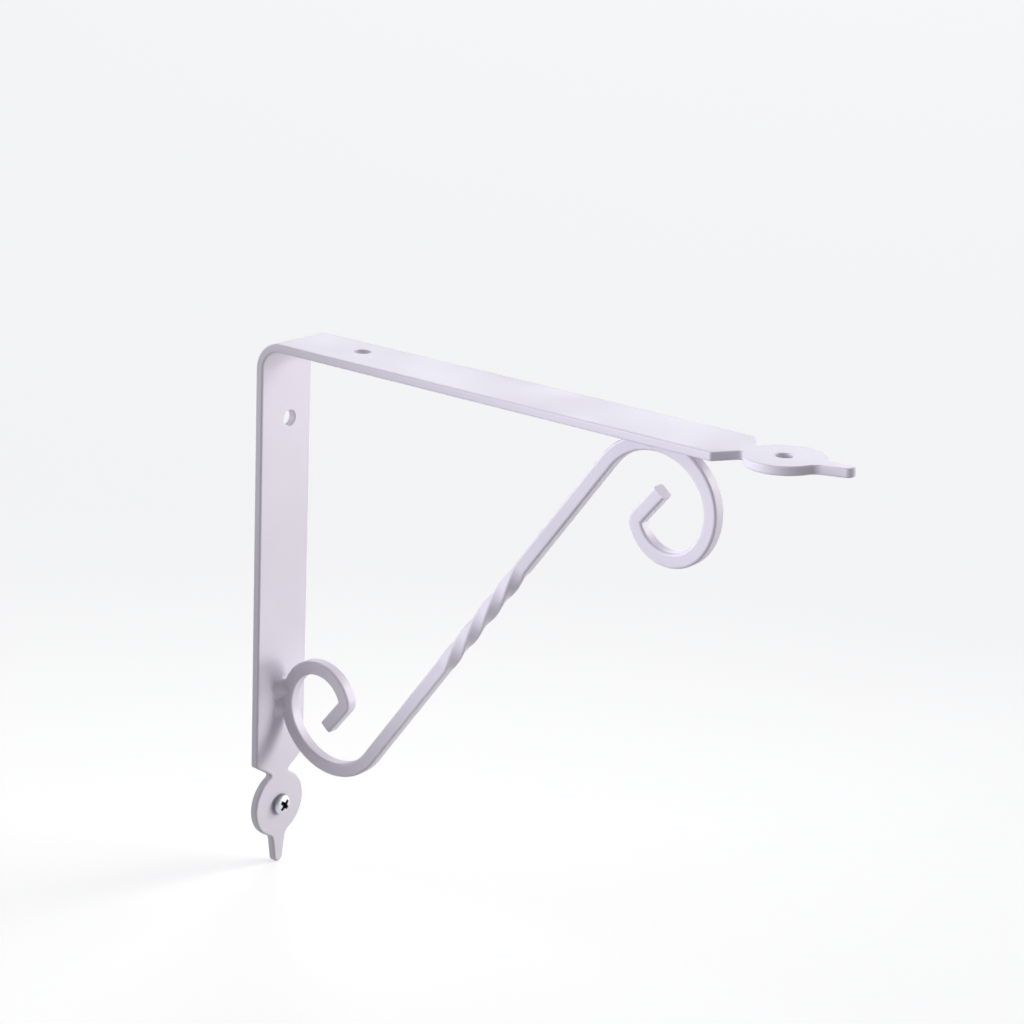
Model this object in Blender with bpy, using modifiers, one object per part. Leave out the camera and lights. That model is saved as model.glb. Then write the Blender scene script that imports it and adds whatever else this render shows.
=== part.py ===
"""Scroll shelf bracket of white coated steel, fixed to a wall by its upright leg.

A flat strap is punched to a leaf at each end and bent to a right angle. A square bar, twisted once
in the middle and rolled into a scroll at both ends, braces the two legs. One pan head screw sits in
the hole of the lower leaf. The wall is the plane x = 0, the shelf goes on top, and the origin lies on
the back of the upright leg, halfway between its two screw holes.
"""
import math

import bmesh
import bpy
from mathutils import Matrix, Vector

MM = 0.001
GAP = 0.3 * MM  # left between pieces that touch

# Strap
STRAP_WIDTH = 25 * MM
STRAP_THICKNESS = 3 * MM
WALL_LEG = 200 * MM  # top of the shelf leg down to the lower tip
SHELF_LEG = 225 * MM  # wall out to the outer tip
BEND_OUTER_RADIUS = 10.5 * MM
BEND_FACETS = 10
EDGE_ROUND = 0.45 * MM  # corners softened by tumbling and coating
HOLE_DIAMETER = 5.8 * MM
WALL_HOLE_DROP = 30 * MM  # upper wall hole, below the shelf plane
SHELF_HOLE_REACH = 35.5 * MM  # inner shelf hole, out from the wall
OFF_MIDDLE = 1.6 * MM  # the brace and both holes near the corner sit this far off the middle line

# Leaf punched at each end of the strap, measured from its shoulders towards its tip
LEAF_LENGTH = 41.4 * MM
LOBE_RADIUS = STRAP_WIDTH / 2
LOBE_CENTRE = 18 * MM
SHOULDER_ANGLE = math.radians(34)  # slope of the shoulders from square across
SHOULDER_ROUND = 1.2 * MM
NECK_ROUND = 1 * MM
TIP_FILLET = 4 * MM
TIP_ROOT_HALF = 3.1 * MM
TIP_END_HALF = 2.2 * MM
OUTER_LEAF_CURVE = 490 * MM  # the shelf leg's leaf curves up gently, its tip by 1.7 mm
OUTER_LEAF_FACETS = 9

# Brace
BAR = 5 * MM
BAR_CHAMFER = 0.5 * MM
BAR_SLOPE = math.radians(54.4)  # of the straight middle, up from level
BAR_STRAIGHT = 160.6 * MM
TWIST_LENGTH = 58 * MM
TWIST_TURNS = -1  # one left-handed turn
TWIST_STEPS = 36
SCROLL_ARCS = (  # centre-line radius and turn, from the straight towards the end of the bar
    (22.0 * MM, math.radians(106)),
    (18.4 * MM, math.radians(74)),
    (13.4 * MM, math.radians(123)),
    (3.0 * MM, math.radians(60)),
)
SCROLL_STUB = 12 * MM
ARC_STEP = math.radians(7)

# Screw
SCREW_DIAMETER = 4 * MM
SCREW_LENGTH = 12 * MM  # under the head
SCREW_POINT = 3 * MM
HEAD_DIAMETER = 7.8 * MM
HEAD_HEIGHT = 2.4 * MM
RECESS_LENGTH = 4.4 * MM
RECESS_WIDTH = 1.0 * MM
RECESS_DEPTH = 1.5 * MM
RECESS_TURNS = (math.radians(45), math.radians(135))

WALL_LOBE_DROP = WALL_LEG - LEAF_LENGTH + LOBE_CENTRE
SHELF_Z = (WALL_HOLE_DROP + WALL_LOBE_DROP) / 2  # height of the shelf plane above the origin
BEND_NEUTRAL_RADIUS = BEND_OUTER_RADIUS - STRAP_THICKNESS / 2
BEND_LENGTH = BEND_NEUTRAL_RADIUS * math.pi / 2
WALL_SHOULDER = -(WALL_LEG - LEAF_LENGTH - BEND_OUTER_RADIUS)  # along the flat blank
SHELF_SHOULDER = BEND_LENGTH + SHELF_LEG - LEAF_LENGTH - BEND_OUTER_RADIUS


def collection(name):
    made = bpy.data.collections.new(name)
    bpy.context.scene.collection.children.link(made)
    return made


def material(name, colour, roughness, metallic):
    made = bpy.data.materials.new(name)
    made.use_nodes = True
    shader = made.node_tree.nodes["Principled BSDF"]
    shader.inputs["Base Color"].default_value = (*colour, 1)
    shader.inputs["Roughness"].default_value = roughness
    shader.inputs["Metallic"].default_value = metallic
    return made


def add_object(name, data, where, finish):
    made = bpy.data.objects.new(name, data)
    where.objects.link(made)
    data.materials.append(finish)
    return made


def curve_data(name, dimensions, outlines, cyclic):
    """A curve with one straight-edged spline for each list of points."""
    curve = bpy.data.curves.new(name, "CURVE")
    curve.dimensions = dimensions
    for outline in outlines:
        spline = curve.splines.new("POLY")
        spline.points.add(len(outline) - 1)
        for point, place in zip(spline.points, outline):
            point.co = (*place, 1)
        spline.use_cyclic_u = cyclic
    return curve


def as_mesh(curve_object):
    """The curve's solid as one welded mesh object in its place; the curve is removed."""
    evaluated = curve_object.evaluated_get(bpy.context.evaluated_depsgraph_get())
    mesh = bpy.data.meshes.new_from_object(evaluated)
    made = bpy.data.objects.new(curve_object.name, mesh)
    made.matrix_world = curve_object.matrix_world
    curve_object.users_collection[0].objects.link(made)
    name = curve_object.name
    bpy.data.objects.remove(curve_object)
    made.name = name
    shape = bmesh.new()
    shape.from_mesh(mesh)
    bmesh.ops.remove_doubles(shape, verts=shape.verts, dist=MM / 1000)
    bmesh.ops.recalc_face_normals(shape, faces=shape.faces)
    shape.to_mesh(mesh)
    shape.free()
    return made


def arc(centre, radius, start, end, steps):
    """Points on an arc, both ends included."""
    turns = [start + (end - start) * i / steps for i in range(steps + 1)]
    return [centre + radius * Vector((math.cos(a), math.sin(a))) for a in turns]


def leaf_half():
    """One side of the leaf, shoulder to tip, as (distance from the shoulder, half width)."""
    lobe = Vector((LOBE_CENTRE, 0))
    slope = Vector((math.sin(SHOULDER_ANGLE), -math.cos(SHOULDER_ANGLE)))
    outward = Vector((-slope.y, slope.x))

    # the shoulder's corner is an arc that touches the strap's side and the slope
    side_half = STRAP_WIDTH / 2
    set_back = SHOULDER_ROUND * math.tan((math.pi / 2 - SHOULDER_ANGLE) / 2)
    corner = Vector((-set_back, side_half - SHOULDER_ROUND))
    shoulder = arc(corner, SHOULDER_ROUND, math.pi / 2, SHOULDER_ANGLE, 4)

    # the neck's arc touches the slope and the lobe, and lies outside both
    start = Vector((0, side_half)) + outward * NECK_ROUND - lobe
    along = start.dot(slope)
    reach = (LOBE_RADIUS + NECK_ROUND) ** 2 - start.length_squared + along**2
    neck_centre = lobe + start + slope * (-along - math.sqrt(reach))
    to_lobe = (lobe - neck_centre).normalized()
    neck_end = 2 * math.pi + math.atan2(to_lobe.y, to_lobe.x)
    neck = arc(neck_centre, NECK_ROUND, SHOULDER_ANGLE + math.pi, neck_end, 7)

    # the fillet touches the lobe and the root of the tip
    rise = TIP_ROOT_HALF + TIP_FILLET
    fillet_centre = lobe + Vector((math.sqrt((LOBE_RADIUS + TIP_FILLET) ** 2 - rise**2), rise))
    lobe_start = math.atan2(-to_lobe.y, -to_lobe.x)
    lobe_end = math.atan2(rise, fillet_centre.x - lobe.x)
    round_side = arc(lobe, LOBE_RADIUS, lobe_start, lobe_end, 20)
    fillet = arc(fillet_centre, TIP_FILLET, math.pi + lobe_end, 1.5 * math.pi, 6)
    tip = arc(Vector((LEAF_LENGTH - TIP_END_HALF, 0)), TIP_END_HALF, math.pi / 2, 0, 6)
    return shoulder + neck + round_side[1:] + fillet[1:] + tip


def leaf(shoulder, direction):
    """The whole end of the strap's flat blank, from one side round the tip to the other."""
    half = leaf_half()
    near = [(shoulder + direction * p.x, -direction * p.y, 0) for p in half]
    far = [(x, -y, 0) for x, y, z in reversed(near[:-1])]
    return near + far


def hole(along, across):
    rim = arc(Vector((along, across)), HOLE_DIAMETER / 2, 0, 2 * math.pi, 28)
    return [(p.x, p.y, 0) for p in rim[:-1]]


def bent(place):
    """A point of the flat blank after bending: x is its length, z its depth, outer face up."""
    length, across, depth = place
    if length <= 0:
        x = STRAP_THICKNESS / 2 - depth
        z = SHELF_Z - BEND_OUTER_RADIUS + length
    elif length >= BEND_LENGTH:
        turn = max(0, length - SHELF_SHOULDER) / OUTER_LEAF_CURVE
        radius = OUTER_LEAF_CURVE - depth
        x = BEND_OUTER_RADIUS + min(length, SHELF_SHOULDER) - BEND_LENGTH + radius * math.sin(turn)
        z = SHELF_Z - STRAP_THICKNESS / 2 + OUTER_LEAF_CURVE - radius * math.cos(turn)
    else:
        turn = length / BEND_NEUTRAL_RADIUS
        radius = BEND_NEUTRAL_RADIUS + depth
        x = BEND_OUTER_RADIUS - radius * math.cos(turn)
        z = SHELF_Z - BEND_OUTER_RADIUS + radius * math.sin(turn)
    return Vector((x, across, z))


def make_strap(where, finish):
    """Flat bar punched at both ends and drilled, then bent to a right angle, its outer leaf curved up."""
    outlines = [
        leaf(SHELF_SHOULDER, 1) + leaf(WALL_SHOULDER, -1),
        hole(WALL_SHOULDER - LOBE_CENTRE, 0),
        hole(BEND_OUTER_RADIUS - WALL_HOLE_DROP, OFF_MIDDLE),
        hole(BEND_LENGTH + SHELF_HOLE_REACH - BEND_OUTER_RADIUS, OFF_MIDDLE),
        hole(SHELF_SHOULDER + LOBE_CENTRE, 0),
    ]
    blank = curve_data("angle_strap", "2D", outlines, cyclic=True)
    blank.fill_mode = "BOTH"
    blank.extrude = STRAP_THICKNESS / 2 - EDGE_ROUND
    blank.bevel_depth = EDGE_ROUND
    blank.bevel_resolution = 1
    blank.offset = -EDGE_ROUND
    strap = as_mesh(add_object("angle_strap", blank, where, finish))

    shape = bmesh.new()
    shape.from_mesh(strap.data)
    folds = [BEND_LENGTH * i / BEND_FACETS for i in range(BEND_FACETS + 1)]
    folds += [SHELF_SHOULDER + LEAF_LENGTH * i / OUTER_LEAF_FACETS for i in range(OUTER_LEAF_FACETS)]
    for fold in folds:
        bmesh.ops.bisect_plane(
            shape,
            geom=shape.verts[:] + shape.edges[:] + shape.faces[:],
            dist=MM / 1000,
            plane_co=(fold, 0, 0),
            plane_no=(1, 0, 0),
        )
    for vertex in shape.verts:
        vertex.co = bent(vertex.co)
    shape.to_mesh(strap.data)
    shape.free()
    return strap


def scroll_half():
    """Centre line from the middle of the bar up to its end, as (x, z, tilt) about the middle."""
    place = Vector((0, 0))
    heading = BAR_SLOPE
    full_tilt = TWIST_TURNS * math.pi
    line = []
    for step in range(1, TWIST_STEPS // 2 + 1):
        share = 2 * step / TWIST_STEPS
        reach = TWIST_LENGTH / 2 * share
        line.append((reach * math.cos(heading), reach * math.sin(heading), full_tilt * share))
    place = Vector((math.cos(heading), math.sin(heading))) * BAR_STRAIGHT / 2
    line.append((place.x, place.y, full_tilt))
    for radius, turn in SCROLL_ARCS:
        steps = max(5, math.ceil(turn / ARC_STEP))
        centre = place + radius * Vector((math.sin(heading), -math.cos(heading)))
        first = heading + math.pi / 2
        for point in arc(centre, radius, first, first - turn, steps)[1:]:
            line.append((point.x, point.y, full_tilt))
        place = Vector(line[-1][:2])
        heading -= turn
    end = place + SCROLL_STUB * Vector((math.cos(heading), math.sin(heading)))
    line.append((end.x, end.y, full_tilt))
    return line


def make_brace(where, finish):
    """Square bar with a scroll at each end, the same both ways round, touching both legs."""
    upper = scroll_half()
    lower = [(-x, -z, -tilt) for x, z, tilt in reversed(upper)]
    line = lower + [(0, 0, 0)] + upper
    centre_x = STRAP_THICKNESS + GAP + BAR / 2 + max(x for x, z, tilt in upper)
    centre_z = SHELF_Z - STRAP_THICKNESS - GAP - BAR / 2 - max(z for x, z, tilt in upper)

    half = BAR / 2
    flat = half - BAR_CHAMFER
    section = [(half, flat), (flat, half), (-flat, half), (-half, flat)]
    section += [(-x, -y) for x, y in section]
    profile = curve_data("bar_section", "2D", [[(x, y, 0) for x, y in section]], cyclic=True)
    profile_object = bpy.data.objects.new("bar_section", profile)
    where.objects.link(profile_object)

    path = curve_data("scroll_brace", "3D", [[(x, 0, z) for x, z, tilt in line]], cyclic=False)
    for point, (x, z, tilt) in zip(path.splines[0].points, line):
        point.tilt = tilt
    path.twist_mode = "MINIMUM"
    path.bevel_mode = "OBJECT"
    path.bevel_object = profile_object
    path.use_fill_caps = True
    brace = add_object("scroll_brace", path, where, finish)
    brace.location = (centre_x, OFF_MIDDLE, centre_z)
    bpy.context.view_layer.update()
    brace = as_mesh(brace)
    bpy.data.objects.remove(profile_object)
    return brace


def make_screw(where, cutters, finish):
    """Pan head screw with a cross recess, turned about its own axis and laid along x."""
    shank = SCREW_DIAMETER / 2
    dome_radius = HEAD_DIAMETER / 2
    dome = [
        (dome_radius * math.cos(a), HEAD_HEIGHT * (0.3 + 0.7 * math.sin(a)))
        for a in (math.radians(18 * i) for i in range(4, -1, -1))
    ]
    outline = [(0, HEAD_HEIGHT)] + dome
    outline += [(dome_radius, 0), (shank, 0), (shank, SCREW_POINT - SCREW_LENGTH), (0, -SCREW_LENGTH)]
    shape = bmesh.new()
    points = [shape.verts.new((r, 0, z)) for r, z in outline]
    for first, second in zip(points, points[1:]):
        shape.edges.new((first, second))
    mesh = bpy.data.meshes.new("wall_screw")
    shape.to_mesh(mesh)
    shape.free()
    screw = add_object("wall_screw", mesh, where, finish)
    spin = screw.modifiers.new("turned", "SCREW")
    spin.axis = "Z"
    spin.angle = 2 * math.pi
    spin.steps = 28
    spin.render_steps = 28
    spin.use_merge_vertices = True
    spin.merge_threshold = MM / 1000

    lie = Matrix.Rotation(math.pi / 2, 4, "Y")
    seat = Matrix.Translation((STRAP_THICKNESS + GAP, 0, SHELF_Z - WALL_LOBE_DROP))
    screw.matrix_world = seat @ lie
    for number, turn in enumerate(RECESS_TURNS, 1):
        slot = bmesh.new()
        bmesh.ops.create_cube(slot, size=1)
        bmesh.ops.scale(slot, verts=slot.verts, vec=(RECESS_LENGTH, RECESS_WIDTH, 2 * RECESS_DEPTH))
        for vertex in slot.verts:
            if vertex.co.z < 0:
                vertex.co.x *= 0.5
        slot_mesh = bpy.data.meshes.new(f"recess_{number}")
        slot.to_mesh(slot_mesh)
        slot.free()
        cutter = bpy.data.objects.new(f"recess_{number}", slot_mesh)
        cutters.objects.link(cutter)
        cutter.display_type = "WIRE"
        cutter.hide_render = True
        place = Matrix.Translation((0, 0, HEAD_HEIGHT)) @ Matrix.Rotation(turn, 4, "Z")
        cutter.matrix_world = seat @ lie @ place
        cut = screw.modifiers.new(f"recess_{number}", "BOOLEAN")
        cut.operation = "DIFFERENCE"
        cut.object = cutter
    return screw


for old in list(bpy.data.objects):
    bpy.data.objects.remove(old)
bracket = collection("scroll_shelf_bracket")
cutters = collection("cutters")
white_coat = material("white_powder_coated_steel", (0.80, 0.78, 0.83), 0.42, 0.0)
zinc = material("bright_zinc_plated_steel", (0.72, 0.73, 0.76), 0.28, 1.0)
make_strap(bracket, white_coat)
make_brace(bracket, white_coat.copy())
make_screw(bracket, cutters, zinc)
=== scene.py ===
"""Scroll shelf bracket of white powder coated steel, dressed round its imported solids.

The wall is the plane x = 0, the shelf lies on top, and the photographed side faces -Y. Pieces are
drawn in millimetres in the part's own frame and turned to metres as they are added to the scene.
"""
import math

import bmesh
import bpy
from mathutils import Euler, Matrix, Vector, noise


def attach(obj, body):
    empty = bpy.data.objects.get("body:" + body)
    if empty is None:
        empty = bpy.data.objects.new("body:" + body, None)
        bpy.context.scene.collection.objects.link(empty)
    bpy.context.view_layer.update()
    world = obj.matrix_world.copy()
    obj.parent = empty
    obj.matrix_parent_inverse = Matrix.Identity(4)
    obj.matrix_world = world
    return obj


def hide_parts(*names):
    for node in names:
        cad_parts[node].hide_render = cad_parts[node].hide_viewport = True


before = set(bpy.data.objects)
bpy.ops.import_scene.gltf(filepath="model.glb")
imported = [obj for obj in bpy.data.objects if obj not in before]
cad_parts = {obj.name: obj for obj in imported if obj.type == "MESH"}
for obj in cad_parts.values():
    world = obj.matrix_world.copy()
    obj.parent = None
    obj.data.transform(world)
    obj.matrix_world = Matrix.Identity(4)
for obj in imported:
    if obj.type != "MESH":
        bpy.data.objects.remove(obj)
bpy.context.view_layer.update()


# --- Strap ---------------------------------------------------------------------------------------
# The 25 x 3 mm strap carries the shelf and is screwed to the wall. It is mild steel bar, punched
# to a leaf with a point at each end, drilled and bent to a right angle, the outer leaf curving up
# a little, then powder coated white, so every edge is softened by the coat.
SHELF_Z = 103.3  # top of the shelf leg above the origin
STRAP_HALF = 12.5
STRAP_THICKNESS = 3.0
WALL_LEG = 200.0
SHELF_LEG = 225.0
BEND_RADIUS = 10.5  # outer face
BEND_FACETS = 28
INNER_EDGE = 0.8  # the punch rounds the edges on one side more than on the other
OUTER_EDGE = 0.5
EDGE_STEPS = 5
HOLE_RADIUS = 2.9
HOLE_SIDES = 60
HOLE_RIM = 0.35  # width of a drilled hole's rim, as a share of the rounding of a punched edge
RIM_MARGIN = 0.02  # some points of a rim lie this little beyond its width
WALL_HOLE = 30.0  # below the shelf
SHELF_HOLE = 35.5  # out from the wall
OFF_MIDDLE = 1.6  # the brace and the two holes near the corner sit this far towards +Y

LEAF_LENGTH = 41.4
LOBE_RADIUS = 12.5
LOBE_CENTRE = 18.0  # from the shoulder
SHOULDER_ANGLE = math.radians(34)
SHOULDER_ROUND = 1.2
NECK_ROUND = 1.0
TIP_FILLET = 4.0
TIP_ROOT_HALF = 3.1
TIP_END_HALF = 2.2
OUTER_LEAF_CURVE = 490.0
OUTER_LEAF_FACETS = 23
SHOULDER_STEPS = 7  # in the arcs of the outline
NECK_STEPS = 10
LOBE_STEPS = 40
FILLET_STEPS = 12
TIP_STEPS = 12
MERGE = 0.001  # points closer than this are one

NEUTRAL_RADIUS = BEND_RADIUS - STRAP_THICKNESS / 2
BEND_LENGTH = NEUTRAL_RADIUS * math.pi / 2
WALL_SHOULDER = WALL_LEG - LEAF_LENGTH - BEND_RADIUS  # below the start of the bend
SHELF_SHOULDER = BEND_LENGTH + SHELF_LEG - LEAF_LENGTH - BEND_RADIUS
BLANK_MIDDLE = (SHELF_SHOULDER - WALL_SHOULDER) / 2
BLANK_HALF = (SHELF_SHOULDER + WALL_SHOULDER) / 2  # from the middle to a shoulder


def turn(shape, start, centre, angle, steps):
    """Draws an arc from the vertex about the centre and gives the arc's last vertex."""
    spun = bmesh.ops.spin(
        shape, geom=[start], cent=(*centre, 0), axis=(0, 0, 1), angle=angle, steps=steps
    )
    return next(part for part in spun["geom_last"] if isinstance(part, bmesh.types.BMVert))


def go_on(shape, start, place):
    """Draws a straight line from the vertex to the place and gives its far vertex."""
    end = shape.verts.new((*place, 0))
    shape.edges.new((start, end))
    return end


def draw_quarter(shape):
    """A quarter of the flat blank's outline: half of the side, then half of a leaf to its tip."""
    shoulder = Vector((BLANK_HALF, STRAP_HALF))
    lobe = Vector((BLANK_HALF + LOBE_CENTRE, 0))
    slope = Vector((math.sin(SHOULDER_ANGLE), -math.cos(SHOULDER_ANGLE)))
    outward = Vector((-slope.y, slope.x))

    set_back = SHOULDER_ROUND * math.tan((math.pi / 2 - SHOULDER_ANGLE) / 2)
    corner = shoulder - Vector((set_back, SHOULDER_ROUND))
    line = shape.verts.new((0, STRAP_HALF, 0))
    line = go_on(shape, line, corner + Vector((0, SHOULDER_ROUND)))
    line = turn(shape, line, corner, SHOULDER_ANGLE - math.pi / 2, SHOULDER_STEPS)

    # the neck's arc lies outside the slope and the lobe, and touches both
    start = shoulder + outward * NECK_ROUND - lobe
    along = start.dot(slope)
    reach = (LOBE_RADIUS + NECK_ROUND) ** 2 - start.length_squared + along**2
    neck = lobe + start - slope * (along + math.sqrt(reach))
    line = go_on(shape, line, neck - outward * NECK_ROUND)
    to_neck = neck - lobe
    lobe_start = math.atan2(to_neck.y, to_neck.x)
    line = turn(shape, line, neck, lobe_start - SHOULDER_ANGLE, NECK_STEPS)

    # the fillet's arc lies outside the lobe and ends at the root of the tip
    rise = TIP_ROOT_HALF + TIP_FILLET
    fillet = lobe + Vector((math.sqrt((LOBE_RADIUS + TIP_FILLET) ** 2 - rise**2), rise))
    lobe_end = math.atan2(rise, fillet.x - lobe.x)
    line = turn(shape, line, lobe, lobe_end - lobe_start, LOBE_STEPS)
    line = turn(shape, line, fillet, math.pi / 2 - lobe_end, FILLET_STEPS)

    tip = Vector((BLANK_HALF + LEAF_LENGTH - TIP_END_HALF, 0))
    line = go_on(shape, line, tip + Vector((0, TIP_END_HALF)))
    turn(shape, line, tip, -math.pi / 2, TIP_STEPS)


def mirror(shape, axis):
    """Adds the mirror image and joins it where both meet."""
    whole = shape.verts[:] + shape.edges[:] + shape.faces[:]
    bmesh.ops.mirror(shape, geom=whole, axis=axis, merge_dist=MERGE)


def bent(place):
    """Where a point of the flat blank lies after the bend."""
    length, across, depth = place
    if length <= 0:
        return Vector((STRAP_THICKNESS / 2 - depth, across, SHELF_Z - BEND_RADIUS + length))
    if length >= BEND_LENGTH:
        angle = max(0, length - SHELF_SHOULDER) / OUTER_LEAF_CURVE
        radius = OUTER_LEAF_CURVE - depth
        x = BEND_RADIUS + min(length, SHELF_SHOULDER) - BEND_LENGTH + radius * math.sin(angle)
        z = SHELF_Z - STRAP_THICKNESS / 2 + OUTER_LEAF_CURVE - radius * math.cos(angle)
        return Vector((x, across, z))
    angle = length / NEUTRAL_RADIUS
    radius = NEUTRAL_RADIUS + depth
    centre = Vector((BEND_RADIUS, across, SHELF_Z - BEND_RADIUS))
    return centre + radius * Vector((-math.cos(angle), 0, math.sin(angle)))


SHARP_ANGLE = math.radians(40)  # faces that meet at more than this keep a sharp edge
MM = 0.001


def add_piece(name, shape, material, slot, *nodes):
    """The shape as a smooth piece of the scene that rides on the part and stands for the nodes."""
    bmesh.ops.scale(shape, vec=(MM, MM, MM), verts=shape.verts)
    for face in shape.faces:
        face.smooth = True
    for edge in shape.edges:
        edge.smooth = edge.calc_face_angle(0) < SHARP_ANGLE
    mesh = bpy.data.meshes.new(name)
    shape.to_mesh(mesh)
    shape.free()
    mesh.materials.append(material)
    piece = bpy.data.objects.new(name, mesh)
    bpy.context.scene.collection.objects.link(piece)
    weighted = piece.modifiers.new("flat faces stay flat", "WEIGHTED_NORMAL")
    weighted.weight = 100  # the normals lean on the largest faces
    weighted.keep_sharp = True
    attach(piece, "root")
    if nodes:
        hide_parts(*nodes)


def linear(hex_colour):
    """An sRGB colour such as #e7e5eb as the linear colour that a shader reads."""
    parts = [int(hex_colour[i : i + 2], 16) / 255 for i in (1, 3, 5)]
    return (*((p / 12.92 if p <= 0.04045 else ((p + 0.055) / 1.055) ** 2.4) for p in parts), 1)


def add_node(material, kind, inputs, **settings):
    """A node with its settings, and with each input set to a value or linked to a socket."""
    node = material.node_tree.nodes.new(kind)
    for name, value in settings.items():
        setattr(node, name, value)
    for name, value in inputs.items():
        if isinstance(value, bpy.types.NodeSocket):
            material.node_tree.links.new(value, node.inputs[name])
        else:
            node.inputs[name].default_value = value
    return node


strap_shape = bmesh.new()
draw_quarter(strap_shape)
mirror(strap_shape, "X")
mirror(strap_shape, "Y")
bmesh.ops.translate(strap_shape, vec=(BLANK_MIDDLE, 0, 0), verts=strap_shape.verts)
holes = [
    Vector((-WALL_SHOULDER - LOBE_CENTRE, 0)),
    Vector((BEND_RADIUS - WALL_HOLE, OFF_MIDDLE)),
    Vector((BEND_LENGTH + SHELF_HOLE - BEND_RADIUS, OFF_MIDDLE)),
    Vector((SHELF_SHOULDER + LOBE_CENTRE, 0)),
]
for hole in holes:
    bmesh.ops.create_circle(
        strap_shape,
        segments=HOLE_SIDES,
        radius=HOLE_RADIUS,
        matrix=Matrix.Translation((*hole, 0)),
    )
filled = bmesh.ops.triangle_fill(
    strap_shape, use_beauty=True, edges=strap_shape.edges, normal=(0, 0, 1)
)
top = [part for part in filled["geom"] if isinstance(part, bmesh.types.BMFace)]
bmesh.ops.translate(
    strap_shape,
    vec=(0, 0, INNER_EDGE - STRAP_THICKNESS / 2),
    verts=strap_shape.verts,
)
raised = bmesh.ops.extrude_face_region(strap_shape, geom=top)["geom"]
bmesh.ops.translate(
    strap_shape,
    vec=(0, 0, STRAP_THICKNESS - INNER_EDGE - OUTER_EDGE),
    verts=[part for part in raised if isinstance(part, bmesh.types.BMVert)],
)
bmesh.ops.recalc_face_normals(strap_shape, faces=strap_shape.faces)
# each face of the blank is drawn in and out by steps of a quarter circle, which rounds its edges
for side, edge_radius in ((1, OUTER_EDGE), (-1, INNER_EDGE)):
    cap = [face for face in strap_shape.faces if face.normal.z * side > 0.5]
    for step in range(EDGE_STEPS):
        low = math.pi / 2 * step / EDGE_STEPS
        high = math.pi / 2 * (step + 1) / EDGE_STEPS
        bmesh.ops.inset_region(
            strap_shape,
            faces=cap,
            thickness=edge_radius * (math.cos(low) - math.cos(high)),
            depth=edge_radius * (math.sin(high) - math.sin(low)),
            use_even_offset=True,
        )
# the rims round the drilled holes are drawn in towards the holes, which keep their size
for vertex in strap_shape.verts:
    for hole in holes:
        beyond = (vertex.co.xy - hole).length - HOLE_RADIUS
        if 0 < beyond < INNER_EDGE + RIM_MARGIN:
            vertex.co.xy -= (vertex.co.xy - hole).normalized() * beyond * (1 - HOLE_RIM)
# cuts across the blank give it something to bend at
folds = [BEND_LENGTH * facet / BEND_FACETS for facet in range(BEND_FACETS + 1)]
folds += [SHELF_SHOULDER + LEAF_LENGTH * i / OUTER_LEAF_FACETS for i in range(OUTER_LEAF_FACETS)]
for fold in folds:
    bmesh.ops.bisect_plane(
        strap_shape,
        geom=strap_shape.verts[:] + strap_shape.edges[:] + strap_shape.faces[:],
        dist=MERGE,
        plane_co=(fold, 0, 0),
        plane_no=(1, 0, 0),
    )
for vertex in strap_shape.verts:
    vertex.co = bent(vertex.co)

# Polyester powder coat, sprayed dry and baked: a satin lilac white with a fine orange peel, some 4
# micrometres high, and slightly cloudy in colour and gloss.
PEEL = 1.6  # from bump to bump
PEEL_DEPTH = 0.012  # of the whole noise, which mostly stays within a third of it
CLOUD = 22  # across
powder_coat = bpy.data.materials.new("white_satin_powder_coat")
powder_coat.use_nodes = True
coat_tree = powder_coat.node_tree
coat_shader = coat_tree.nodes["Principled BSDF"]
coat_place = add_node(powder_coat, "ShaderNodeTexCoord", {}).outputs["Object"]
peel = add_node(
    powder_coat,
    "ShaderNodeTexNoise",
    {"Vector": coat_place, "Scale": 1 / (PEEL * MM), "Detail": 2.0, "Roughness": 0.45},
)
clouds = add_node(
    powder_coat,
    "ShaderNodeTexNoise",
    {"Vector": coat_place, "Scale": 1 / (CLOUD * MM), "Detail": 3.0, "Roughness": 0.55},
)
coat_colour = add_node(
    powder_coat,
    "ShaderNodeMix",
    {"Factor": clouds.outputs["Fac"], 6: linear("#e6e0ed"), 7: linear("#ebe5f3")},
    data_type="RGBA",
)
coat_gloss = add_node(
    powder_coat,
    "ShaderNodeMapRange",
    {
        "Value": clouds.outputs["Fac"],
        "From Min": 0.3,
        "From Max": 0.7,
        "To Min": 0.34,
        "To Max": 0.44,
    },
)
peel_bump = add_node(
    powder_coat,
    "ShaderNodeBump",
    {"Height": peel.outputs["Fac"], "Strength": 1.0, "Distance": PEEL_DEPTH * MM},
)
coat_tree.links.new(coat_colour.outputs[2], coat_shader.inputs["Base Color"])
coat_tree.links.new(coat_gloss.outputs["Result"], coat_shader.inputs["Roughness"])
coat_tree.links.new(peel_bump.outputs["Normal"], coat_shader.inputs["Normal"])
coat_shader.inputs["IOR"].default_value = 1.5

add_piece("bent_strap", strap_shape, powder_coat, "powder_coat", "angle_strap")


# --- Brace ---------------------------------------------------------------------------------------
# A 5 mm square steel bar holds the two legs apart. It is cold twisted one turn in its middle,
# rolled to a scroll at both ends with the last centimetre left straight, and coated with the
# strap.
BAR_HALF = 2.5
BAR_ROUND = 1.0
BAR_ROUND_STEPS = 6
BAR_SLOPE = math.radians(54.4)
BAR_STRAIGHT = 160.6  # between the scrolls
TWIST_LENGTH = 53.0
TWIST_STEPS = 48  # in half a turn
SCROLL_ARCS = (  # centre-line radius, turn and steps
    (22.0, math.radians(106), 44),
    (18.4, math.radians(74), 30),
    (13.4, math.radians(123), 44),
    (3.0, math.radians(60), 14),
)
SCROLL_STUB = 12.0
END_RIM = 0.25
BRACE_GAP = 0.3

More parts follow.
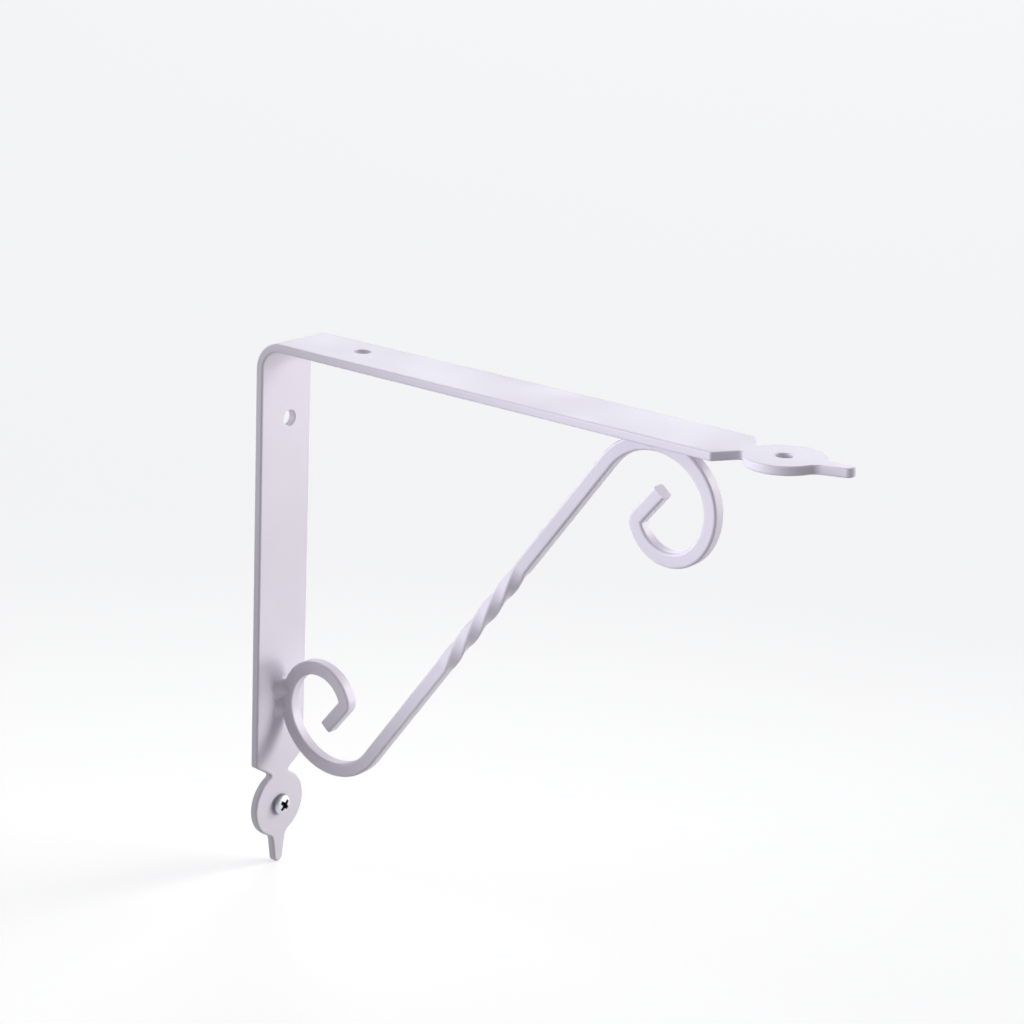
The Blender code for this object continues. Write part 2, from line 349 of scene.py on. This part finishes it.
brace_shape = bmesh.new()
bmesh.ops.create_grid(brace_shape, x_segments=1, y_segments=1, size=BAR_HALF)
bmesh.ops.bevel(
    brace_shape,
    geom=brace_shape.verts[:],
    affect="VERTICES",
    offset=BAR_ROUND,
    segments=BAR_ROUND_STEPS,
    profile=0.5,
    material=-1,
)
bmesh.ops.delete(brace_shape, geom=brace_shape.faces[:], context="FACES_ONLY")
# the section is turned to stand square across the bar, which slopes up and away from the wall
bmesh.ops.rotate(
    brace_shape,
    verts=brace_shape.verts,
    matrix=Matrix.Rotation(math.pi / 2 - BAR_SLOPE, 3, "Y"),
)
ring = brace_shape.edges[:]
heading = Vector((math.cos(BAR_SLOPE), 0, math.sin(BAR_SLOPE)))


def spin_ring(shape, ring, centre, axis, angle, steps, rise=(0, 0, 0)):
    """Carries the ring of edges round the axis and along the rise, and gives the last ring."""
    corners = list({vertex for edge in ring for vertex in edge.verts})
    spun = bmesh.ops.spin(
        shape,
        geom=corners + ring,
        cent=centre,
        axis=axis,
        dvec=Vector(rise) / steps,
        angle=angle,
        steps=steps,
    )
    return [part for part in spun["geom_last"] if isinstance(part, bmesh.types.BMEdge)]


def push_ring(shape, ring, by):
    """Draws the ring of edges straight out and gives the last ring."""
    drawn = bmesh.ops.extrude_edge_only(shape, edges=ring)["geom"]
    bmesh.ops.translate(
        shape, vec=by, verts=[part for part in drawn if isinstance(part, bmesh.types.BMVert)]
    )
    edges = [part for part in drawn if isinstance(part, bmesh.types.BMEdge)]
    return [edge for edge in edges if len(edge.link_faces) == 1]


half_twist = heading * TWIST_LENGTH / 2
ring = spin_ring(brace_shape, ring, (0, 0, 0), heading, -math.pi, TWIST_STEPS, half_twist)
ring = push_ring(brace_shape, ring, heading * (BAR_STRAIGHT / 2 - TWIST_LENGTH / 2))
place = heading * BAR_STRAIGHT / 2
for radius, angle, steps in SCROLL_ARCS:
    centre = place + radius * Vector((heading.z, 0, -heading.x))
    ring = spin_ring(brace_shape, ring, centre, (0, 1, 0), angle, steps)
    bending = Matrix.Rotation(angle, 3, "Y")
    place = centre + bending @ (place - centre)
    heading = bending @ heading
ring = push_ring(brace_shape, ring, heading * SCROLL_STUB)
end = bmesh.ops.edgeloop_fill(brace_shape, edges=ring)["faces"]
bmesh.ops.inset_region(brace_shape, faces=end, thickness=END_RIM, depth=0)
# the lower half is the upper one turned half round about the bar's middle
upper = brace_shape.verts[:] + brace_shape.edges[:] + brace_shape.faces[:]
other = bmesh.ops.duplicate(brace_shape, geom=upper)["geom"]
bmesh.ops.rotate(
    brace_shape,
    verts=[part for part in other if isinstance(part, bmesh.types.BMVert)],
    matrix=Matrix.Rotation(math.pi, 3, "Y"),
)
bmesh.ops.remove_doubles(brace_shape, verts=brace_shape.verts, dist=MERGE)
bmesh.ops.recalc_face_normals(brace_shape, faces=brace_shape.faces)
top_of_brace = max(vertex.co.z for vertex in brace_shape.verts)
side_of_brace = max(vertex.co.x for vertex in brace_shape.verts)
bmesh.ops.translate(
    brace_shape,
    vec=(
        STRAP_THICKNESS + BRACE_GAP + side_of_brace,
        OFF_MIDDLE,
        SHELF_Z - STRAP_THICKNESS - BRACE_GAP - top_of_brace,
    ),
    verts=brace_shape.verts,
)
add_piece("twisted_scroll_brace", brace_shape, powder_coat, "powder_coat", "scroll_brace")


# --- Weld beads ----------------------------------------------------------------------------------
# A short bead of weld metal on the photographed side joins the brace to each leg. Each was laid
# by hand as two drops that ran together, one larger, and fills the corner between bar and leg.
DROPS = (  # place along the bead, half length, half width and height
    (3.4, 5.0, 4.7, 4.1),
    (-3.9, 3.8, 4.0, 3.2),
)
BEAD_FOOT = 0.85  # under 1 makes the foot of a drop steeper
LUMP_SHARE = 0.12  # how uneven its outline is
LUMP_SIZE = 2.1
BEAD_HALF = 10.0  # of the sheet that it is raised from
BEAD_NARROW = 0.6  # the sheet's width to its length
BEAD_STEP = 0.2
BEAD_SUNK = 0.04  # its rim lies this far inside the leg
BEAD_ROOT = 1.0  # its underside lies this far inside the leg
BEAD_ACROSS = -0.7
WALL_BEAD_Z = -31.0
SHELF_BEAD_X = 157.6


def bead_height(along, across):
    """How high the weld metal stands over the leg."""
    lump = 1 + LUMP_SHARE * noise.noise((along / LUMP_SIZE, across / LUMP_SIZE, 0))
    metal = 0
    for place, half_length, half_width, height in DROPS:
        reach = min(1, lump * math.hypot((along - place) / half_length, across / half_width))
        metal += (height * (0.5 + 0.5 * math.cos(math.pi * reach)) ** BEAD_FOOT) ** 2
    return math.sqrt(metal)


def add_bead(name, matrix):
    """A bead along x that stands up from the leg along z, set in its place by the matrix."""
    shape = bmesh.new()
    bmesh.ops.create_grid(
        shape,
        x_segments=round(2 * BEAD_HALF / BEAD_STEP),
        y_segments=round(2 * BEAD_NARROW * BEAD_HALF / BEAD_STEP),
        size=BEAD_HALF,
    )
    bmesh.ops.scale(shape, vec=(1, BEAD_NARROW, 1), verts=shape.verts)
    root = bmesh.ops.extrude_face_region(shape, geom=shape.faces[:])["geom"]
    root = {part for part in root if isinstance(part, bmesh.types.BMVert)}
    for vertex in shape.verts:
        if vertex in root:
            vertex.co.z = -BEAD_ROOT
        else:
            vertex.co.z = bead_height(vertex.co.x, vertex.co.y) - BEAD_SUNK
    bmesh.ops.transform(shape, matrix=matrix, verts=shape.verts)
    bmesh.ops.recalc_face_normals(shape, faces=shape.faces)
    add_piece(name, shape, powder_coat, "powder_coat")


add_bead(
    "weld_bead_at_wall_leg",
    Matrix(
        (
            (0, 0, 1, STRAP_THICKNESS),
            (0, 1, 0, BEAD_ACROSS),
            (1, 0, 0, WALL_BEAD_Z),
            (0, 0, 0, 1),
        )
    ),
)
add_bead(
    "weld_bead_at_shelf_leg",
    Matrix(
        (
            (-1, 0, 0, SHELF_BEAD_X),
            (0, 1, 0, BEAD_ACROSS),
            (0, 0, -1, SHELF_Z - STRAP_THICKNESS),
            (0, 0, 0, 1),
        )
    ),
)


# --- Wall screw ----------------------------------------------------------------------------------
# A 4 x 12 mm pan head wood screw holds the lower leaf to the wall. Its head and thread are cold
# formed and rolled from steel wire, the cross recess is struck into the head, and it is bright
# zinc plated.
SCREW_Z = -73.3
HEAD_RADIUS = 3.9
HEAD_HEIGHT = 2.65  # down to the strap
HEAD_TOP = 5.7
HEAD_CHAMFER = 0.15
SHANK_LENGTH = 11.75
POINT_LENGTH = 3.0
POINT_BLUNT = 0.06  # share of the thickness that is left at the end
CREST_RADIUS = 2.0
ROOT_RADIUS = 1.35
THREAD_PITCH = 1.6
THREAD_TURN_STEPS = 40
THREAD_OUTLINE = (  # share of the pitch and radius
    (0.3, ROOT_RADIUS),
    (0.47, CREST_RADIUS),
    (0.53, CREST_RADIUS),
    (0.7, ROOT_RADIUS),
)
THREAD_SUNK = 0.4  # it starts this far inside the head
THREAD_CUT = 0.0001  # points this close to a cut lie on it
RECESS_LENGTH = 5.4
RECESS_WIDTH = 1.6
RECESS_DEPTH = 1.8
RECESS_MARGIN = 0.3  # the punch is drawn from this far above the head
RECESS_TAPER = 0.55
RECESS_ROUND = 0.5
RECESS_ROUND_STEPS = 4
RECESS_TURN = math.radians(45)
HEAD_STEPS = 72
DOME_RADIUS = 9.0
DOME_STEPS = 6
CORNER_RADIUS = 1.4
CORNER_STEPS = 8


def draw_head(shape):
    """Half the head's outline, its axis along x, from the crown to the middle of its underside."""
    dome = Vector((HEAD_TOP - DOME_RADIUS, 0))
    lean = math.asin((HEAD_RADIUS - CORNER_RADIUS) / (DOME_RADIUS - CORNER_RADIUS))
    corner = dome + (DOME_RADIUS - CORNER_RADIUS) * Vector((math.cos(lean), math.sin(lean)))
    line = shape.verts.new((HEAD_TOP, 0, 0))
    line = turn(shape, line, dome, lean, DOME_STEPS)
    line = turn(shape, line, corner, math.pi / 2 - lean, CORNER_STEPS)
    line = go_on(shape, line, (HEAD_TOP - HEAD_HEIGHT + HEAD_CHAMFER, HEAD_RADIUS))
    line = go_on(shape, line, (HEAD_TOP - HEAD_HEIGHT, HEAD_RADIUS - HEAD_CHAMFER))
    go_on(shape, line, (HEAD_TOP - HEAD_HEIGHT, 0))


def combine(shape, other, operation):
    """Joins the other closed shape to this one, or cuts it out, and gives the new shape."""
    made = []
    for part in (shape, other):
        mesh = bpy.data.meshes.new("part")
        part.to_mesh(mesh)
        part.free()
        made.append(bpy.data.objects.new("part", mesh))
        bpy.context.scene.collection.objects.link(made[-1])
    boolean = made[0].modifiers.new("boolean", "BOOLEAN")
    boolean.operation = operation
    boolean.object = made[1]
    result = bmesh.new()
    result.from_object(made[0], bpy.context.evaluated_depsgraph_get())
    for part in made:
        bpy.data.objects.remove(part)
    return result


screw_shape = bmesh.new()
draw_head(screw_shape)
bmesh.ops.spin(
    screw_shape,
    geom=screw_shape.verts[:] + screw_shape.edges[:],
    cent=(0, 0, 0),
    axis=(1, 0, 0),
    angle=2 * math.pi,
    steps=HEAD_STEPS,
    use_merge=True,
)
bmesh.ops.remove_doubles(screw_shape, verts=screw_shape.verts, dist=MERGE)
half_step = Matrix.Rotation(math.pi / HEAD_STEPS, 3, "X")  # keeps the recess off the head's seams
bmesh.ops.rotate(screw_shape, matrix=half_step, verts=screw_shape.verts)
bmesh.ops.recalc_face_normals(screw_shape, faces=screw_shape.faces)

# the punch that strikes the recess has four wings, tapers, and is rounded where the wings meet
punch = bmesh.new()
bmesh.ops.create_grid(punch, x_segments=3, y_segments=3, size=RECESS_LENGTH / 2)
inner = [vertex for vertex in punch.verts if abs(vertex.co.x) < RECESS_LENGTH / 3]
bmesh.ops.scale(punch, vec=(3 * RECESS_WIDTH / RECESS_LENGTH, 1, 1), verts=inner)
inner = [vertex for vertex in punch.verts if abs(vertex.co.y) < RECESS_LENGTH / 3]
bmesh.ops.scale(punch, vec=(1, 3 * RECESS_WIDTH / RECESS_LENGTH, 1), verts=inner)
corner_faces = []
for face in punch.faces:
    centre = face.calc_center_median()
    if min(abs(centre.x), abs(centre.y)) > RECESS_WIDTH:
        corner_faces.append(face)
bmesh.ops.delete(punch, geom=corner_faces, context="FACES")
bmesh.ops.translate(punch, vec=(0, 0, RECESS_MARGIN), verts=punch.verts)
drawn = bmesh.ops.extrude_face_region(punch, geom=punch.faces[:])["geom"]
tip = [part for part in drawn if isinstance(part, bmesh.types.BMVert)]
bmesh.ops.translate(punch, vec=(0, 0, -RECESS_MARGIN - RECESS_DEPTH), verts=tip)
bmesh.ops.scale(punch, vec=(RECESS_TAPER, RECESS_TAPER, 1), verts=tip)
bmesh.ops.recalc_face_normals(punch, faces=punch.faces)
bmesh.ops.dissolve_limit(
    punch, angle_limit=math.radians(1), verts=punch.verts[:], edges=punch.edges[:]
)
hollow = [edge for edge in punch.edges if not edge.is_convex]
bmesh.ops.bevel(
    punch,
    geom=hollow,
    affect="EDGES",
    offset=RECESS_ROUND,
    segments=RECESS_ROUND_STEPS,
    profile=0.5,
    material=-1,
)
bmesh.ops.rotate(punch, matrix=Matrix.Rotation(RECESS_TURN, 3, "Z"), verts=punch.verts)
bmesh.ops.rotate(punch, matrix=Matrix.Rotation(math.pi / 2, 3, "Y"), verts=punch.verts)
bmesh.ops.translate(punch, vec=(HEAD_TOP, 0, 0), verts=punch.verts)
screw_shape = combine(screw_shape, punch, "DIFFERENCE")

# the thread is one pitch of its outline, wound from inside the head to past the point
thread_shape = bmesh.new()
thread_start = HEAD_TOP - HEAD_HEIGHT + THREAD_SUNK
line = thread_shape.verts.new((thread_start + THREAD_PITCH, ROOT_RADIUS, 0))
for share, radius in THREAD_OUTLINE:
    line = go_on(thread_shape, line, (thread_start + THREAD_PITCH * (1 - share), radius))
go_on(thread_shape, line, (thread_start, ROOT_RADIUS))
shank_end = HEAD_TOP - HEAD_HEIGHT - SHANK_LENGTH
turns = math.ceil((thread_start - shank_end) / THREAD_PITCH) + 1
bmesh.ops.spin(
    thread_shape,
    geom=thread_shape.verts[:] + thread_shape.edges[:],
    cent=(0, 0, 0),
    axis=(1, 0, 0),
    dvec=(-THREAD_PITCH / THREAD_TURN_STEPS, 0, 0),
    angle=-2 * math.pi * turns,
    steps=THREAD_TURN_STEPS * turns,
)
bmesh.ops.remove_doubles(thread_shape, verts=thread_shape.verts, dist=MERGE)
for end, outwards in ((thread_start, 1), (shank_end, -1)):
    cut = bmesh.ops.bisect_plane(
        thread_shape,
        geom=thread_shape.verts[:] + thread_shape.edges[:] + thread_shape.faces[:],
        dist=THREAD_CUT,
        plane_co=(end, 0, 0),
        plane_no=(outwards, 0, 0),
        clear_outer=True,
    )["geom_cut"]
    rim = [part for part in cut if isinstance(part, bmesh.types.BMEdge)]
    bmesh.ops.edgeloop_fill(thread_shape, edges=rim)
for vertex in thread_shape.verts:
    taper = min(1, POINT_BLUNT + (1 - POINT_BLUNT) * (vertex.co.x - shank_end) / POINT_LENGTH)
    vertex.co.y *= taper
    vertex.co.z *= taper
bmesh.ops.recalc_face_normals(thread_shape, faces=thread_shape.faces)
screw_shape = combine(screw_shape, thread_shape, "UNION")

# how deep a point lies under the dome, which sets the painted shade in the recess; the side of the
# head gets a little painted shade too
SIDE_SHADE_DEPTH = 0.27
SIDE_WIDTH = 0.2
SIDE_BELOW_TOP = 1.3
DEPTH_MARGIN = 0.01
painted_shade_depth = screw_shape.verts.layers.float.new("painted_shade_depth")
for vertex in screw_shape.verts:
    off_axis = math.hypot(vertex.co.y, vertex.co.z)
    crown = HEAD_TOP - DOME_RADIUS + math.sqrt(max(0, DOME_RADIUS**2 - off_axis**2))
    below_top = HEAD_TOP - vertex.co.x
    if off_axis < RECESS_LENGTH / 2 and below_top < RECESS_DEPTH + DEPTH_MARGIN:
        vertex[painted_shade_depth] = max(0, crown - vertex.co.x)
    elif off_axis > HEAD_RADIUS - SIDE_WIDTH and below_top > SIDE_BELOW_TOP:
        vertex[painted_shade_depth] = SIDE_SHADE_DEPTH
bmesh.ops.translate(screw_shape, vec=(0, 0, SCREW_Z), verts=screw_shape.verts)

# Zinc plate: a bluish white metal, a few micrometres thick and slightly uneven, so its satin
# shine varies a little from grain to grain. The recess is painted near black as shade, and the
# side of the head is painted a little darker than its top, also as painted shade.
GRAIN = 0.7  # coarser than the real one, so that it shows
GRAIN_DEPTH = 0.006
FULL_SHADE_DEPTH = 0.5  # from here down the recess is painted in full shade
zinc_plate = bpy.data.materials.new("satin_zinc_plate")
zinc_plate.use_nodes = True
zinc_shader = zinc_plate.node_tree.nodes["Principled BSDF"]
zinc_place = add_node(zinc_plate, "ShaderNodeTexCoord", {}).outputs["Object"]
zinc_grain = add_node(
    zinc_plate,
    "ShaderNodeTexNoise",
    {"Vector": zinc_place, "Scale": 1 / (GRAIN * MM), "Detail": 4.0, "Roughness": 0.6},
)
shade_depth_attribute = add_node(zinc_plate, "ShaderNodeAttribute", {}, attribute_name="painted_shade_depth")
painted_shade_amount = add_node(
    zinc_plate,
    "ShaderNodeMapRange",
    {"Value": shade_depth_attribute.outputs["Fac"], "From Min": 0.0, "From Max": FULL_SHADE_DEPTH},
)
zinc_white = add_node(
    zinc_plate,
    "ShaderNodeMix",
    {"Factor": zinc_grain.outputs["Fac"], 6: linear("#c6c8d0"), 7: linear("#dadce3")},
    data_type="RGBA",
)
# painted shade: the recess, and a little of the side of the head, are mixed towards near black
zinc_colour = add_node(
    zinc_plate,
    "ShaderNodeMix",
    {"Factor": painted_shade_amount.outputs["Result"], 6: zinc_white.outputs[2], 7: linear("#33333a")},
    data_type="RGBA",
)
zinc_gloss = add_node(
    zinc_plate,
    "ShaderNodeMapRange",
    {
        "Value": zinc_grain.outputs["Fac"],
        "From Min": 0.3,
        "From Max": 0.7,
        "To Min": 0.5,
        "To Max": 0.6,
    },
)
zinc_bump = add_node(
    zinc_plate,
    "ShaderNodeBump",
    {"Height": zinc_grain.outputs["Fac"], "Strength": 1.0, "Distance": GRAIN_DEPTH * MM},
)
zinc_shader.inputs["Metallic"].default_value = 1.0
zinc_plate.node_tree.links.new(zinc_colour.outputs[2], zinc_shader.inputs["Base Color"])
zinc_plate.node_tree.links.new(zinc_gloss.outputs["Result"], zinc_shader.inputs["Roughness"])
zinc_plate.node_tree.links.new(zinc_bump.outputs["Normal"], zinc_shader.inputs["Normal"])

add_piece("pan_head_screw", screw_shape, zinc_plate, "zinc_plate", "wall_screw")


# --- Floor, lights and camera --------------------------------------------------------------------
# A plain pale floor at the lower tip, soft lights behind and on the left, six lights kept narrow
# by grids, and the camera as the photograph was taken: in front on the right, 18 degrees above
# level.
FLOOR_HALF = 8  # in metres, as all lengths from here on
LOWER_TIP_Z = -0.0967
FLOOR_GLOW = 0.44  # brings it to the paleness of the far wall
floor_shape = bmesh.new()
bmesh.ops.create_grid(floor_shape, x_segments=1, y_segments=1, size=FLOOR_HALF)
bmesh.ops.translate(floor_shape, vec=(0, 0, LOWER_TIP_Z), verts=floor_shape.verts)
floor_mesh = bpy.data.meshes.new("floor")
floor_shape.to_mesh(floor_mesh)
floor_shape.free()
floor = bpy.data.objects.new("floor", floor_mesh)
bpy.context.scene.collection.objects.link(floor)
floor_paint = bpy.data.materials.new("pale_matt_floor")
floor_paint.use_nodes = True
floor_shader = floor_paint.node_tree.nodes["Principled BSDF"]
floor_shader.inputs["Base Color"].default_value = linear("#f4f4f4")
floor_shader.inputs["Roughness"].default_value = 0.9
floor_shader.inputs["Emission Color"].default_value = (1, 1, 1, 1)
floor_shader.inputs["Emission Strength"].default_value = FLOOR_GLOW
floor_mesh.materials.append(floor_paint)
floor.visible_diffuse = False  # it lights nothing, so the edges towards the camera stay dark


def add_light(name, kind, azimuth, elevation, energy, distance, aim, **settings):
    """A lamp that faces its aim, placed round it by the same two angles as the camera."""
    lamp = bpy.data.lights.new(name, kind)
    lamp.energy = energy
    for setting, value in settings.items():
        setattr(lamp, setting, value)
    light = bpy.data.objects.new(name, lamp)
    bpy.context.scene.collection.objects.link(light)
    facing = Euler((math.radians(90 - elevation), 0, math.radians(azimuth))).to_matrix()
    place = Vector(aim) + facing @ Vector((0, 0, distance))
    light.matrix_world = Matrix.Translation(place) @ facing.to_4x4()
    light.visible_camera = False


SOFT = math.radians(40)
SUN_DISTANCE = 3.0
MIDDLE = (0.1, 0, 0.02)
COOL = linear("#f6f8fe")[:3]
WARM = linear("#fffcf6")[:3]
for name, azimuth, elevation, energy in (
    ("back_left_soft_light", -150, 15, 0.90),
    ("back_right_soft_light", 140, 15, 0.87),
    ("left_soft_light", -60, 20, 0.6),
):
    settings = {"angle": SOFT, "color": COOL}
    add_light(name, "SUN", azimuth, elevation, energy, SUN_DISTANCE, MIDDLE, **settings)
for name, azimuth, elevation, energy, distance, aim, size, spread, tint in (
    ("wall_leg_gridded_light", 150, 20, 0.165, 0.8, (0, 0, 0.07), 0.35, 35, WARM),
    ("wall_leg_low_light", 128, 4, 0.155, 0.8, (0, 0, -0.085), 0.36, 36, WARM),
    ("bend_gridded_light", 125, -45, 0.0022, 0.2, (0.008, 0, 0.1), 0.05, 30, WARM),
    ("shelf_end_gridded_light", -60, 5, 0.024, 0.5, (0.175, 0, 0.095), 0.15, 24, COOL),
    ("shelf_front_gridded_light", -35, 8, 0.064, 0.9, (0.2, 0, 0.08), 0.2, 16, COOL),
    ("brace_gridded_light", -10, 5, 0.008, 0.9, (0.09, 0, -0.01), 0.06, 9, COOL),
):
    settings = {"size": size, "spread": math.radians(spread), "color": tint}
    add_light(name, "AREA", azimuth, elevation, energy, distance, aim, **settings)
world = bpy.data.worlds.new("white_studio")
world.use_nodes = True
background = world.node_tree.nodes["Background"]
background.inputs["Color"].default_value = (1, 1, 1, 1)
# the studio's far wall looks as pale as the floor, but lights the bracket less
WALL_LIGHT = 0.29
WALL_PALENESS = 0.88
light_path = add_node(world, "ShaderNodeLightPath", {})
backdrop = add_node(
    world,
    "ShaderNodeMapRange",
    {"Value": light_path.outputs["Is Camera Ray"], "To Min": WALL_LIGHT, "To Max": WALL_PALENESS},
)
world.node_tree.links.new(backdrop.outputs["Result"], background.inputs["Strength"])
bpy.context.scene.world = world
bpy.context.scene.view_settings.view_transform = "Standard"

CAMERA_AIM = (0.10226, 0.00016, 0.06264)
CAMERA_DISTANCE = 0.752982
CAMERA_AZIMUTH = 36.604
CAMERA_ELEVATION = 18.046
CAMERA_ROLL = 2.829
camera_data = bpy.data.cameras.new("camera")
camera_data.lens = 81.57
camera_data.sensor_width = 36
camera_data.clip_start = 0.05
camera_data.clip_end = 50
camera = bpy.data.objects.new("camera", camera_data)
bpy.context.scene.collection.objects.link(camera)
camera_turn = Euler(
    (math.radians(90 - CAMERA_ELEVATION), 0, math.radians(CAMERA_AZIMUTH))
).to_matrix()
camera_roll = Matrix.Rotation(math.radians(CAMERA_ROLL), 3, "Z")
camera_place = Vector(CAMERA_AIM) + camera_turn @ Vector((0, 0, CAMERA_DISTANCE))
camera.matrix_world = Matrix.Translation(camera_place) @ (camera_turn @ camera_roll).to_4x4()
bpy.context.scene.camera = camera
